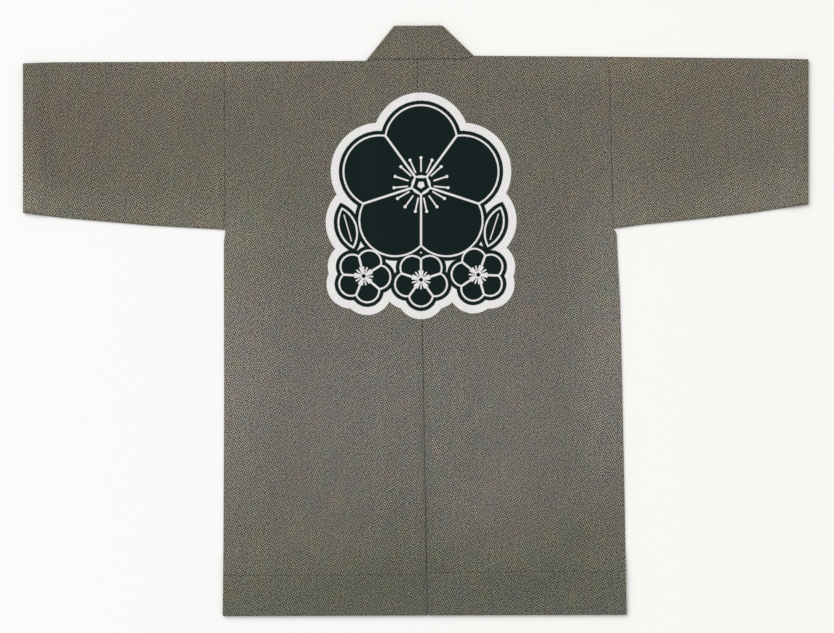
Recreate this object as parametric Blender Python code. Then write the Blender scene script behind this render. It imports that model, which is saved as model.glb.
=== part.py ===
"""A happi coat of one thick cotton cloth, laid flat on a surface with its back up.

Each piece that a maker cuts is one object: two body lengths, which run from the back hem over
the shoulder to the front hem, two sleeves, and one long folded collar band.

Sizes are in millimetres until they reach a mesh. X runs across the coat, Y from hem to collar
and Z up from the surface. The origin is the middle of the coat's outline, on that surface.
"""

from collections import namedtuple
from math import cos, exp, hypot, pi, sin

import bmesh
import bpy
from mathutils import Vector

METRES = 0.001

# Cloth and what lies on what
CLOTH = 1.2
BAND = 2.8
GAP = 0.3
HALF_CLOTH = CLOTH / 2
TURN = (CLOTH + GAP) / 2
BAND_TURN = (BAND + GAP) / 2

# Undersides of the back: over a plain front, over the collar band, and over both turned-up hems
OVER_FRONT = CLOTH + GAP
OVER_BAND = BAND + GAP
OVER_HEMS = OVER_BAND + CLOTH + GAP
BAND_SLOPE = 28.0
HEM_SLOPE = 45.0

# Collar band, cuffs and the soft lift of the upper layer
BAND_WIDTH = 57.0
FRONT_OPENING = 8.0
LEAN_FROM = 160.0
FAN = 9.0
CUFF_DEPTH = 20.0
CUFF_SLOPE = 25.0
PUFF = 1.0
EDGE_FADE = 40.0

# How finely the pieces are divided
SIDE_COLUMNS = 8
NECK_COLUMNS = 3
SLEEVE_COLUMNS = 8
SLEEVE_UNDER_COLUMNS = 4
BAND_COLUMNS = 2
TURN_STEPS = 6
HEM_ROWS = 2
HEM_SLOPE_ROWS = 4
BACK_ROWS = 15
SHOULDER_ROWS = 7
LEAN_ROWS = 5
FRONT_ROWS = 7
SLEEVE_ROWS = 9
CUFF_ROWS = 3

Across = namedtuple("Across", "x y")
Down = namedtuple("Down", "y x")

# The top of the coat from cuff to cuff: the shoulder folds, with the back of the neck between
TOP = (
    Across(x=-637.8, y=418.2),
    Across(x=-590.0, y=420.2),
    Across(x=-310.0, y=421.3),
    Across(x=-80.7, y=422.6),
    Across(x=-64.0, y=425.4),
    Across(x=76.0, y=425.8),
    Across(x=94.2, y=430.8),
    Across(x=314.0, y=429.3),
    Across(x=590.0, y=426.2),
    Across(x=637.8, y=425.0),
)
HEM = (
    Across(x=-313.5, y=-479.5),
    Across(x=342.3, y=-477.2),
)
CENTRE = (
    Down(y=-479.0, x=19.4),
    Down(y=-413.0, x=17.6),
    Down(y=-259.0, x=15.2),
    Down(y=0.0, x=10.3),
    Down(y=426.0, x=3.0),
)

# The two halves. Each side runs up from the hem, steps in under the arm and goes on as the armhole.
Half = namedtuple("Half", "name out cuff_x under_sleeve underarm_y side hem_depth neck collar_top")
LEFT = Half(
    name="left",
    out=-1,
    cuff_x=-637.8,
    under_sleeve=(
        Across(x=-637.8, y=175.0),
        Across(x=-575.0, y=167.3),
        Across(x=-430.0, y=154.8),
        Across(x=-308.0, y=146.6),
    ),
    underarm_y=146.0,
    side=(
        Down(y=-479.5, x=-313.5),
        Down(y=-400.0, x=-312.6),
        Down(y=-130.0, x=-311.3),
        Down(y=138.0, x=-311.8),
        Down(y=146.0, x=-308.2),
        Down(y=421.3, x=-309.7),
    ),
    hem_depth=67.0,
    neck=Across(x=-80.7, y=422.6),
    collar_top=Across(x=-35.2, y=479.3),
)
RIGHT = Half(
    name="right",
    out=1,
    cuff_x=637.8,
    under_sleeve=(
        Across(x=321.0, y=149.0),
        Across(x=364.5, y=155.2),
        Across(x=462.0, y=165.1),
        Across(x=543.0, y=175.2),
        Across(x=637.8, y=189.0),
    ),
    underarm_y=148.4,
    side=(
        Down(y=-477.2, x=342.3),
        Down(y=-290.0, x=339.2),
        Down(y=-48.0, x=334.1),
        Down(y=34.0, x=331.8),
        Down(y=98.0, x=328.2),
        Down(y=138.0, x=326.4),
        Down(y=148.4, x=321.4),
        Down(y=429.3, x=314.1),
    ),
    hem_depth=71.0,
    neck=Across(x=94.2, y=430.8),
    collar_top=Across(x=43.6, y=479.7),
)

# Soft ridges and troughs of the upper layer, each along a line from one point to another
Fold = namedtuple("Fold", "name x0 y0 x1 y1 height width")
FOLDS = (
    Fold("low right ridge", 40, -372, 186, -259, 2.2, 34),
    Fold("low right trough", 130, -405, 300, -282, -0.9, 30),
    Fold("outer right ridge", 215, -395, 318, -250, 1.6, 28),
    Fold("trough by the centre seam", -12, -280, -10, -395, -0.9, 18),
    Fold("ridge left of that trough", -52, -260, -60, -400, 1.2, 26),
    Fold("long left streak", -123, 70, -116, -230, 1.0, 24),
    Fold("middle of the back", -150, 40, 170, -90, 0.9, 110),
    Fold("left hip ridge", -262, -150, -236, -330, 1.1, 30),
    Fold("right shoulder ridge", 150, 330, 250, 250, 1.2, 45),
    Fold("left shoulder ridge", -165, 335, -245, 235, 1.0, 45),
    Fold("left sleeve crease", -407, 250, -410, 172, -0.9, 12),
    Fold("left sleeve ridge", -390, 330, -372, 195, 1.5, 26),
    Fold("left cuff ridge", -560, 365, -500, 235, 1.1, 34),
    Fold("right sleeve ridge", 400, 345, 430, 210, 1.4, 30),
    Fold("right cuff ridge", 500, 265, 585, 345, 1.0, 36),
)

# Nominal heights of the rows across the back and the front, bottom to top
HEM_Y = -478.5
STITCH_Y = -411.0
UNDERARM_Y = 147.2
UNDERARM_STEP = 9.0
TOP_Y = 424.0
SHOULDER_STEPS = (22.0, 9.0)

# Where each object's own origin lies: on a half's middle, on its armhole
BODY_ORIGIN_X = 165.0
ARMHOLE = Across(x=312.0, y=290.0)

CLOTH_COLOUR = (0.150, 0.137, 0.110)
COLLAR_COLOUR = (0.141, 0.130, 0.104)


def mix(a, b, part):
    return a + (b - a) * part


def soft(value):
    """A smooth step from 0 to 1."""
    value = min(max(value, 0.0), 1.0)
    return value * value * (3 - 2 * value)


def steps(start, end, count):
    """Evenly spaced values after start, up to and including end."""
    return [mix(start, end, number / count) for number in range(1, count + 1)]


def read(table, at):
    """The second column of a table, read between its rows by the first."""
    for low, high in zip(table, table[1:]):
        if at <= high[0]:
            break
    return mix(low[1], high[1], (at - low[0]) / (high[0] - low[0]))


def meet(start, along, other, other_along):
    """Where two lines in the plane cross."""
    turn = along[0] * other_along[1] - along[1] * other_along[0]
    gap = (other[0] - start[0], other[1] - start[1])
    reach = (gap[0] * other_along[1] - gap[1] * other_along[0]) / turn
    return (start[0] + along[0] * reach, start[1] + along[1] * reach)


def collar_seam(half, y):
    """X of the seam between a front and the collar band, which leans out to the corner of the neck."""
    straight = read(CENTRE, y) + half.out * (FRONT_OPENING / 2 + BAND_WIDTH)
    lean = min(max((y - LEAN_FROM) / (half.neck.y - LEAN_FROM), 0.0), 1.0)
    return mix(straight, half.neck.x, lean)


def room(x, y):
    """Distance from the nearest edge of the coat's outline, where the upper layer lies down."""
    half = LEFT if x < read(CENTRE, y) else RIGHT
    nearest = read(TOP, x) - y
    beyond_side = half.out * (x - read(half.side, y))
    if beyond_side > 0 and y > half.underarm_y:
        return min(nearest, y - read(half.under_sleeve, x), half.out * (half.cuff_x - x))
    above_hem = y - read(HEM, x) - half.hem_depth
    from_side = hypot(beyond_side, max(y - half.underarm_y, 0.0))
    return min(nearest, above_hem, from_side)


def fold_height(fold, x, y):
    length = hypot(fold.x1 - fold.x0, fold.y1 - fold.y0)
    along_x = (fold.x1 - fold.x0) / length
    along_y = (fold.y1 - fold.y0) / length
    reach = (x - fold.x0) * along_x + (y - fold.y0) * along_y
    beyond = max(-reach, reach - length, 0.0)
    aside = (x - fold.x0) * along_y - (y - fold.y0) * along_x
    return fold.height * exp(-(aside / fold.width) ** 2 - (beyond / (2 * fold.width)) ** 2)


def lift(x, y):
    """How far the upper layer stands off the layers that it could lie flat on."""
    rise = PUFF + sum(fold_height(fold, x, y) for fold in FOLDS)
    return max(rise, 0.0) * soft(room(x, y) / EDGE_FADE)


def back_height(half, x, y):
    """Middle of the back's wall: it steps up over the collar band and over the turned-up hems."""
    outside_band = half.out * (x - collar_seam(half, y))
    over_band = 1 - soft(outside_band / BAND_SLOPE)
    above_hem = y - read(HEM, x) - half.hem_depth
    over_hem = 1 - soft(above_hem / HEM_SLOPE)
    under = mix(OVER_FRONT, OVER_BAND, over_band)
    return mix(under, OVER_HEMS, over_hem) + lift(x, y) + HALF_CLOTH


def wall(name, origin, rows, ring=False, bare=()):
    """One closed body between two facing grids of points.

    rows holds (outer, inner) lists of points, one pair for each row. A ring joins the last
    column to the first, and bare lists the cells, as (row, column), that hold no cloth.
    """
    mesh = bmesh.new()
    corners = {}
    columns = len(rows[0][0])
    across = columns if ring else columns - 1
    cells = {(row, column) for row in range(len(rows) - 1) for column in range(across)} - set(bare)

    def vertex(side, row, column):
        key = (side, row, column % columns)
        if key not in corners:
            point = rows[row][side][column % columns]
            corners[key] = mesh.verts.new((Vector(point) - Vector(origin)) * METRES)
        return corners[key]

    for row, column in sorted(cells):
        loop = ((row, column), (row, column + 1), (row + 1, column + 1), (row + 1, column))
        for side in (0, 1):
            mesh.faces.new([vertex(side, *corner) for corner in loop])
        beyond = ((row - 1, column), (row, column + 1), (row + 1, column), (row, column - 1))
        for edge, (next_row, next_column) in enumerate(beyond):
            if (next_row, next_column % columns if ring else next_column) in cells:
                continue
            first, second = loop[edge], loop[(edge + 1) % 4]
            mesh.faces.new(
                [vertex(0, *first), vertex(0, *second), vertex(1, *second), vertex(1, *first)]
            )
    bmesh.ops.recalc_face_normals(mesh, faces=mesh.faces)
    data = bpy.data.meshes.new(name)
    mesh.to_mesh(data)
    mesh.free()
    data.shade_smooth()
    data.set_sharp_from_angle(angle=pi / 4)
    piece = bpy.data.objects.new(name, data)
    piece.location = Vector(origin) * METRES
    bpy.context.scene.collection.objects.link(piece)
    return piece


def faces_of(points):
    """The outer and inner points of a wall from its middle: points holds (place, outward) pairs."""
    outer = [Vector(place) + Vector(out) * HALF_CLOTH for place, out in points]
    inner = [Vector(place) - Vector(out) * HALF_CLOTH for place, out in points]
    return outer, inner


def column_x(half, column, y):
    """X of a lengthwise line of a body length: out at the side seam, in at the centre back."""
    side = read(half.side, y)
    seam = collar_seam(half, y) + half.out * GAP / 2
    if column <= SIDE_COLUMNS:
        return mix(side, seam, column / SIDE_COLUMNS)
    middle = read(CENTRE, y) + half.out * GAP / 2
    return mix(seam, middle, (column - SIDE_COLUMNS) / NECK_COLUMNS)


def settled(half, column, y):
    """Where a lengthwise line meets a row of the back, which follows the hem, underarm and shoulder."""
    x = column_x(half, column, y)
    at_underarm = half.underarm_y - UNDERARM_Y
    if y < UNDERARM_Y:
        y += mix(at_underarm, read(HEM, x) - HEM_Y, (UNDERARM_Y - y) / (UNDERARM_Y - HEM_Y))
    else:
        y += mix(at_underarm, read(TOP, x) - TOP_Y, (y - UNDERARM_Y) / (TOP_Y - UNDERARM_Y))
    return column_x(half, column, y), y


def back_rows():
    """Nominal heights of the rows of the back, bottom to top."""
    low = HEM_Y + TURN + HALF_CLOTH
    above_hem = STITCH_Y + HEM_SLOPE
    rows = [low] + steps(low, STITCH_Y, HEM_ROWS) + steps(STITCH_Y, above_hem, HEM_SLOPE_ROWS)
    rows += steps(above_hem, UNDERARM_Y - UNDERARM_STEP, BACK_ROWS) + [UNDERARM_Y]
    rows += steps(UNDERARM_Y, TOP_Y - EDGE_FADE, SHOULDER_ROWS)
    return rows + [TOP_Y - step for step in SHOULDER_STEPS]


def front_rows(half):
    """Heights that a front and the band beside it share, top to bottom, so that their seam is even."""
    rows = steps(TOP_Y, LEAN_FROM, LEAN_ROWS) + [half.underarm_y, half.underarm_y - UNDERARM_STEP]
    return rows + steps(rows[-1], HEM_Y + 2 * CLOTH, FRONT_ROWS)


def body_line(half, column):
    """One lengthwise line of a body length, as (place, outward) pairs from hem edge to hem edge."""
    in_neck = column > SIDE_COLUMNS
    points = []

    def add(x, y, z, out_y, out_z):
        points.append(((x, y, z), (0, out_y, out_z)))

    def turn(x, centre_y, centre_z, radius, way):
        for number in range(1, TURN_STEPS):
            angle = pi * number / TURN_STEPS
            out_y, out_z = way * sin(angle), way * cos(angle)
            add(x, centre_y + radius * out_y, centre_z + radius * out_z, out_y, out_z)

    # The raw edge inside the back hem, then the fold at the bottom
    inner_hem = OVER_BAND + HALF_CLOTH
    for share in (1.0, 0.5, 0.0):
        x = column_x(half, column, mix(HEM_Y, STITCH_Y, share))
        low = read(HEM, x) + TURN + HALF_CLOTH
        add(x, mix(low, read(HEM, x) + half.hem_depth - 2, share), inner_hem, 0, -1)
    turn(x, low, inner_hem + TURN, TURN, -1)

    # The back, up to the shoulder fold or to the seam at the back of the neck
    for nominal in back_rows():
        x, y = settled(half, column, nominal)
        slope = back_height(half, x, y + 1) - back_height(half, x, y)
        add(x, y, back_height(half, x, y), -slope, 1)
    x = settled(half, column, TOP_Y)[0]
    if in_neck:
        add(x, read(TOP, x) - GAP / 2, OVER_BAND + HALF_CLOTH, 0, 1)
    else:
        upper = back_height(half, x, read(TOP, x) - 1)
        radius = (upper - HALF_CLOTH) / 2
        crown = read(TOP, x) - radius - HALF_CLOTH
        add(x, crown, upper, 0, 1)
        turn(x, crown, HALF_CLOTH + radius, radius, 1)
        add(x, crown, HALF_CLOTH, 0, -1)

    # The front lies flat on the surface, and its hem folds up on the inside
    if not in_neck:
        for nominal in front_rows(half):
            add(column_x(half, column, nominal), nominal, HALF_CLOTH, 0, -1)
        x = column_x(half, column, HEM_Y)
        low = read(HEM, x) + TURN + HALF_CLOTH
        add(x, low, HALF_CLOTH, 0, -1)
        turn(x, low, HALF_CLOTH + TURN, TURN, -1)
        for share in (0.0, 0.5, 1.0):
            x = column_x(half, column, mix(HEM_Y, STITCH_Y, share))
            add(x, mix(low, read(HEM, x) + half.hem_depth - 2, share), OVER_FRONT + HALF_CLOTH, 0, 1)
    return points


def body(half):
    """A body length: the back is whole, and the front stops at the collar seam."""
    lines = [faces_of(body_line(half, column)) for column in range(SIDE_COLUMNS + NECK_COLUMNS + 1)]
    longest = len(lines[0][0])
    whole_width = len(lines[-1][0])
    bare = [
        (row, column)
        for row in range(whole_width - 1, longest - 1)
        for column in range(SIDE_COLUMNS, SIDE_COLUMNS + NECK_COLUMNS)
    ]
    rows = []
    for row in range(longest):
        pair = [[line[side][min(row, len(line[side]) - 1)] for line in lines] for side in (0, 1)]
        rows.append(pair)
    return wall(f"body_{half.name}", (half.out * BODY_ORIGIN_X, 0, 0), rows, bare=bare)


def sleeve_ring(half, part, from_cuff, inset, tilt):
    """One ring of a sleeve: inset is how far inside the outer ring it is, and tilt its turn at the cuff."""
    stack = 2 * TURN + 4 * TURN * (1 - soft((from_cuff - CUFF_DEPTH - 2) / CUFF_SLOPE))
    radius = stack / 2 - inset
    middle = HALF_CLOTH + stack / 2
    armhole_x = read(half.side, ARMHOLE.y)
    near_x = mix(armhole_x, half.cuff_x, part)
    low = read(half.under_sleeve, near_x) + HALF_CLOTH + stack / 2
    high = read(TOP, near_x) - HALF_CLOTH - stack / 2
    section = []
    for number in range(SLEEVE_COLUMNS + 1):
        section.append((mix(low, high, number / SLEEVE_COLUMNS), middle + radius, 0, 1))
    for number in range(1, TURN_STEPS):
        angle = pi * number / TURN_STEPS
        section.append((high + radius * sin(angle), middle + radius * cos(angle), sin(angle), cos(angle)))
    for number in range(SLEEVE_UNDER_COLUMNS + 1):
        section.append((mix(high, low, number / SLEEVE_UNDER_COLUMNS), middle - radius, 0, -1))
    for number in range(1, TURN_STEPS):
        angle = pi + pi * number / TURN_STEPS
        section.append((low + radius * sin(angle), middle + radius * cos(angle), sin(angle), cos(angle)))
    points = []
    for number, (y, z, out_y, out_z) in enumerate(section):
        start = read(half.side, y) + half.out * GAP
        x = mix(start, half.cuff_x, part)
        if number <= SLEEVE_COLUMNS:
            z += lift(x, y)
        outward = (half.out * sin(tilt), out_y * cos(tilt), out_z * cos(tilt))
        points.append(((x, y, z), outward))
    return faces_of(points)


def sleeve(half):
    """A sleeve: one flattened tube whose end is turned in at the cuff."""
    length = half.out * (half.cuff_x - read(half.side, ARMHOLE.y))
    reach = HALF_CLOTH + TURN
    from_cuffs = [length] + steps(length, CUFF_DEPTH + CUFF_SLOPE, SLEEVE_ROWS)
    from_cuffs += steps(from_cuffs[-1], CUFF_DEPTH, CUFF_ROWS) + [reach]
    rows = [sleeve_ring(half, 1 - distance / length, distance, 0.0, 0.0) for distance in from_cuffs]
    for number in range(1, TURN_STEPS + 1):
        angle = pi * number / TURN_STEPS
        distance = reach - TURN * sin(angle)
        inset = TURN * (1 - cos(angle))
        rows.append(sleeve_ring(half, 1 - distance / length, distance, inset, angle))
    for distance in steps(reach, CUFF_DEPTH, 2):
        rows.append(sleeve_ring(half, 1 - distance / length, distance, 2 * TURN, pi))
    return wall(f"sleeve_{half.name}", (half.out * ARMHOLE.x, ARMHOLE.y, 0), rows, ring=True)


def band_row(seam_end, fold_end, z_outer, z_inner):
    """One row of the collar band: (outer, inner) points from the seam edge to the folded edge.

    seam_end and fold_end each hold the outer point and then the inner one.
    """
    row = []
    for side, z in ((0, z_outer), (1, z_inner)):
        ends = (seam_end[side], fold_end[side])
        row.append(
            [
                (
                    mix(ends[0][0], ends[1][0], number / BAND_COLUMNS),
                    mix(ends[0][1], ends[1][1], number / BAND_COLUMNS),
                    z,
                )
                for number in range(BAND_COLUMNS + 1)
            ]
        )
    return row


def band_crease(half, angle):
    """A row of the band in its half turn at the corner of the neck, where it turns under."""
    crease = (half.collar_top.x - half.neck.x, half.collar_top.y - half.neck.y)
    length = hypot(*crease)
    outward = (half.out * crease[1] / length, abs(crease[0]) / length)
    seam_start, seam_end = (TOP[4], TOP[3]) if half.out < 0 else (TOP[5], TOP[6])
    seam_along = (seam_end.x - seam_start.x, seam_end.y - seam_start.y)
    top_along = (RIGHT.collar_top.x - LEFT.collar_top.x, RIGHT.collar_top.y - LEFT.collar_top.y)
    seam_points, fold_points, heights = [], [], []
    for side in (1, -1):
        radius = BAND_TURN + side * BAND / 2
        offset = radius * sin(angle) - BAND_TURN - BAND / 2
        start = (half.neck.x + outward[0] * offset, half.neck.y + outward[1] * offset)
        seam_points.append(meet(start, crease, (seam_start.x, seam_start.y + GAP / 2), seam_along))
        fold_points.append(meet(start, crease, half.collar_top, top_along))
        heights.append(OVER_BAND - GAP / 2 - radius * cos(angle))
    return band_row(seam_points, fold_points, *heights)


def band_front(half):
    """The band's rows from the hem up the front to the crease, lying on the surface."""
    rows = []
    crease_seam = band_crease(half, 0.0)[0][0]
    crease_fold = band_crease(half, 0.0)[0][-1]
    fan_from = crease_seam[1] - FAN
    bottom = read(HEM, read(CENTRE, HEM_Y)) + GAP
    for y in [bottom, *reversed(front_rows(half)), fan_from]:
        seam = (collar_seam(half, y) - half.out * GAP / 2, y)
        folded = (seam[0] - half.out * BAND_WIDTH, y)
        rows.append(band_row((seam, seam), (folded, folded), 0.0, BAND))
    for part in (1 / 3, 2 / 3):
        seam_end = (mix(seam[0], crease_seam[0], part), mix(seam[1], crease_seam[1], part))
        fold_end = (mix(folded[0], crease_fold[0], part), mix(folded[1], crease_fold[1], part))
        rows.append(band_row((seam_end, seam_end), (fold_end, fold_end), 0.0, BAND))
    return rows


def collar():
    """One long band: up the left front, under at the crease, across the neck, and down the right."""
    turns = [pi * number / TURN_STEPS for number in range(TURN_STEPS + 1)]
    rows = band_front(LEFT) + [band_crease(LEFT, angle) for angle in turns]
    upper_left = band_crease(LEFT, pi)[0]
    upper_right = band_crease(RIGHT, pi)[0]
    neck_columns = range(SIDE_COLUMNS + 1, SIDE_COLUMNS + NECK_COLUMNS)
    seam_xs = [settled(LEFT, column, TOP_Y)[0] for column in neck_columns]
    seam_xs.append(read(CENTRE, TOP_Y))
    seam_xs += [settled(RIGHT, column, TOP_Y)[0] for column in reversed(neck_columns)]
    for seam_x in seam_xs:
        part = (seam_x - upper_left[0][0]) / (upper_right[0][0] - upper_left[0][0])
        seam_end = (seam_x, read(TOP, seam_x) + GAP / 2)
        fold_end = [mix(upper_left[-1][axis], upper_right[-1][axis], part) for axis in (0, 1)]
        rows.append(
            band_row((seam_end, seam_end), (fold_end, fold_end), OVER_BAND + BAND, OVER_BAND)
        )
    rows += [band_crease(RIGHT, angle) for angle in reversed(turns)]
    rows += reversed(band_front(RIGHT))
    return wall("collar", (read(CENTRE, TOP_Y), TOP_Y, 0), rows)


def finish(piece, name, colour):
    """Gives a piece its own dyed cotton."""
    material = bpy.data.materials.new(name)
    material.use_nodes = True
    shader = material.node_tree.nodes["Principled BSDF"]
    shader.inputs["Base Color"].default_value = (*colour, 1)
    shader.inputs["Roughness"].default_value = 0.92
    shader.inputs["Metallic"].default_value = 0.0
    piece.data.materials.append(material)


def clear_scene():
    for old in list(bpy.data.objects):
        bpy.data.objects.remove(old)


def build_coat():
    clear_scene()
    coat = bpy.data.objects.new("happi_coat", None)
    bpy.context.scene.collection.objects.link(coat)
    pieces = {
        "body cloth left": (body(LEFT), CLOTH_COLOUR),
        "body cloth right": (body(RIGHT), CLOTH_COLOUR),
        "sleeve cloth left": (sleeve(LEFT), CLOTH_COLOUR),
        "sleeve cloth right": (sleeve(RIGHT), CLOTH_COLOUR),
        "collar cloth": (collar(), COLLAR_COLOUR),
    }
    for material_name, (piece, colour) in pieces.items():
        finish(piece, material_name, colour)
        piece.parent = coat


build_coat()
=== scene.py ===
# %% [markdown]
# A happi coat, laid flat with its back up
#
# This lesson dresses a plain, rigid model of a cotton coat with real cloth: walls that turn over
# at every fold, seams that roll down into a groove, hems caught by small stitches, a marled weave
# and a printed flower on the back. The rigid model, called the frame, is loaded first. It says
# how big the coat is and where it lies, and nothing here moves or resizes it.

# %% Load the frame
import random
from collections import namedtuple
from math import ceil, cos, exp, hypot, pi, radians, sin, sqrt, tau

import bmesh
import bpy
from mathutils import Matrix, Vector


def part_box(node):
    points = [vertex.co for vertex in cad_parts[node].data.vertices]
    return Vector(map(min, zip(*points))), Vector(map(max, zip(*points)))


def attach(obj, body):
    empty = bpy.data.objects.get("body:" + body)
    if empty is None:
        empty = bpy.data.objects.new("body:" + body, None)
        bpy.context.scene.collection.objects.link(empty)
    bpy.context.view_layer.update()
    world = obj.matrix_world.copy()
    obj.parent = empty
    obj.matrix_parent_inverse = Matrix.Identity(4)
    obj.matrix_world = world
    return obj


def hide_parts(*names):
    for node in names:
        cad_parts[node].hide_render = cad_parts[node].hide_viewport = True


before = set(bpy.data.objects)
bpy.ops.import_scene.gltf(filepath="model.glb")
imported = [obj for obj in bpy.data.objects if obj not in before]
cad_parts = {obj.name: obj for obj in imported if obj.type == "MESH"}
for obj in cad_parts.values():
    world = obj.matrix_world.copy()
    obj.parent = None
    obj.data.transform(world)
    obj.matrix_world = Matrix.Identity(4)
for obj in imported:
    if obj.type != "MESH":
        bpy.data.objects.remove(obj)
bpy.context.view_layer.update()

print("frame nodes:", ", ".join(sorted(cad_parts)))

# %% [markdown]
# The camera
#
# The coat is seen from straight above. A long lens far away keeps the view almost parallel, as a
# catalogue photographer would have it. The picture is 834 pixels wide, and one pixel is 1.6245 mm
# on the coat, so the distance follows from the lens.

# %% Camera
METRES = 0.001
PICTURE_WIDTH = 834
PIXEL = 1.6245
LENS = 110.0
SENSOR = 36.0
VIEW_CENTRE = (2.2, 7.0)
FACE_HEIGHT = 3.0
FARTHEST = 50.0

camera_data = bpy.data.cameras.new("camera")
camera_data.lens = LENS
camera_data.sensor_width = SENSOR
camera_data.clip_end = FARTHEST
camera = bpy.data.objects.new("camera", camera_data)
camera_height = PICTURE_WIDTH * PIXEL * LENS / SENSOR
camera.location = [METRES * value for value in (*VIEW_CENTRE, camera_height + FACE_HEIGHT)]
bpy.context.scene.collection.objects.link(camera)
bpy.context.scene.camera = camera
print(f"camera {camera_height / 1000:.2f} m above the cloth")

# %% [markdown]
# The cut of the coat
#
# A maker cuts five pieces: two body lengths that run from the back hem over the shoulder to the
# front hem, two sleeves, and one long collar band folded double. All sizes are in millimetres
# until they reach a mesh, with X across the coat, Y from hem to collar and Z up from the table.
# The outline is a few short tables, and whatever lies between two rows is read off a straight line.

# %% Thickness of the cloth, and what lies on what
CLOTH = 1.2
BAND = 2.8
GAP = 0.3
HALF_CLOTH = CLOTH / 2
TURN = (CLOTH + GAP) / 2
BAND_TURN = (BAND + GAP) / 2
BAND_FOLD = (BAND - CLOTH) / 2
OVER_FRONT = CLOTH + GAP
OVER_BAND = BAND + GAP
OVER_HEMS = OVER_BAND + CLOTH + GAP
BAND_SLOPE = 28.0
HEM_SLOPE = 45.0
BAND_WIDTH = 57.0
FRONT_OPENING = 8.0
LEAN_FROM = 160.0
FAN = 9.0
CUFF_DEPTH = 20.0
CUFF_SLOPE = 25.0
CUFF_LEVEL = 2
print(f"over plain front {OVER_FRONT:.1f} mm, over the band {OVER_BAND:.1f}, over the hems {OVER_HEMS:.1f}")

# %% The outline
Across = namedtuple("Across", "x y")
Down = namedtuple("Down", "y x")

TOP = (
    Across(x=-637.8, y=418.2),
    Across(x=-590.0, y=420.2),
    Across(x=-310.0, y=421.3),
    Across(x=-80.7, y=422.6),
    Across(x=-64.0, y=425.4),
    Across(x=76.0, y=425.8),
    Across(x=94.2, y=430.8),
    Across(x=314.0, y=429.3),
    Across(x=590.0, y=426.2),
    Across(x=637.8, y=425.0),
)
HEM = (Across(x=-313.5, y=-479.5), Across(x=342.3, y=-477.2))
CENTRE = (
    Down(y=-479.0, x=20.0),
    Down(y=-413.0, x=18.2),
    Down(y=-259.0, x=15.8),
    Down(y=0.0, x=10.8),
    Down(y=426.0, x=3.0),
)
HEM_Y = -478.5
STITCH_INSET = 1.0
UNDERARM_Y = 147.2
UNDERARM_STEP = 9.0
TOP_Y = 424.0

Half = namedtuple(
    "Half", "name out cuff_x armhole_gap under_sleeve underarm_y side hem_depth neck collar_top"
)
LEFT = Half(
    name="left",
    out=-1,
    cuff_x=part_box("sleeve_left")[0][0] / METRES,
    armhole_gap=0.26,
    under_sleeve=(
        Across(x=-637.8, y=175.0),
        Across(x=-575.0, y=167.3),
        Across(x=-430.0, y=154.8),
        Across(x=-308.0, y=148.0),
    ),
    underarm_y=146.0,
    side=(
        Down(y=-479.5, x=-313.5),
        Down(y=-400.0, x=-312.6),
        Down(y=-130.0, x=-311.3),
        Down(y=128.0, x=-311.7),
        Down(y=146.0, x=-309.4),
        Down(y=421.3, x=-310.0),
    ),
    hem_depth=67.0,
    neck=Across(x=-80.7, y=422.6),
    collar_top=Across(x=-35.2, y=479.3),
)
RIGHT = Half(
    name="right",
    out=1,
    cuff_x=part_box("sleeve_right")[1][0] / METRES,
    armhole_gap=0.56,
    under_sleeve=(
        Across(x=321.0, y=150.2),
        Across(x=364.5, y=156.2),
        Across(x=462.0, y=165.8),
        Across(x=543.0, y=175.2),
        Across(x=637.8, y=189.0),
    ),
    underarm_y=148.4,
    side=(
        Down(y=-477.2, x=342.3),
        Down(y=-290.0, x=339.2),
        Down(y=-48.0, x=334.1),
        Down(y=34.0, x=331.8),
        Down(y=98.0, x=328.2),
        Down(y=138.0, x=326.4),
        Down(y=144.6, x=325.6),
        Down(y=148.4, x=321.4),
        Down(y=429.3, x=314.1),
    ),
    hem_depth=71.0,
    neck=Across(x=94.2, y=430.8),
    collar_top=Across(x=43.6, y=479.7),
)
print(f"cuff to cuff {RIGHT.cuff_x - LEFT.cuff_x:.0f} mm")

# %% Small helpers for reading the tables


def mix(a, b, part):
    return a + (b - a) * part


def soft(value):
    """A smooth step from 0 to 1."""
    value = min(max(value, 0.0), 1.0)
    return value * value * (3 - 2 * value)


def read(table, at):
    """The second column of a table, read between its rows by the first."""
    for low, high in zip(table, table[1:]):
        if at <= high[0]:
            break
    return mix(low[1], high[1], (at - low[0]) / (high[0] - low[0]))


def meet(start, along, other, other_along):
    """Where two lines in the plane cross."""
    turn = along[0] * other_along[1] - along[1] * other_along[0]
    gap = (other[0] - start[0], other[1] - start[1])
    reach = (gap[0] * other_along[1] - gap[1] * other_along[0]) / turn
    return (start[0] + along[0] * reach, start[1] + along[1] * reach)


def collar_seam(half, y):
    """X of the seam between a front and the collar band, which leans out to the corner of the neck."""
    straight = read(CENTRE, y) + half.out * (FRONT_OPENING / 2 + BAND_WIDTH)
    lean = min(max((y - LEAN_FROM) / (half.neck.y - LEAN_FROM), 0.0), 1.0)
    return mix(straight, half.neck.x, lean)


def hem_line(half):
    """Y of the row of stitches at the middle of the half, just below the top of the turned-up hem."""
    return HEM_Y + half.hem_depth - STITCH_INSET


FINE = (0.0, 0.35, 0.8, 1.4, 2.2, 3.4, 5.0, 7.5)


def spaced(start, end, step, fine_start=False, fine_end=False):
    """Places from start to end, a step apart, and close together at an end that has a seam."""
    length = abs(end - start)
    low = list(FINE) if fine_start else [0.0]
    high = [length - value for value in reversed(FINE)] if fine_end else [length]
    count = max(1, ceil((high[0] - low[-1]) / step))
    middle = [mix(low[-1], high[0], number / count) for number in range(1, count)]
    return [mix(start, end, value / length) for value in low + middle + high]


print("places near a seam:", [round(value, 1) for value in spaced(0, 30, 6, fine_start=True)])

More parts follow.
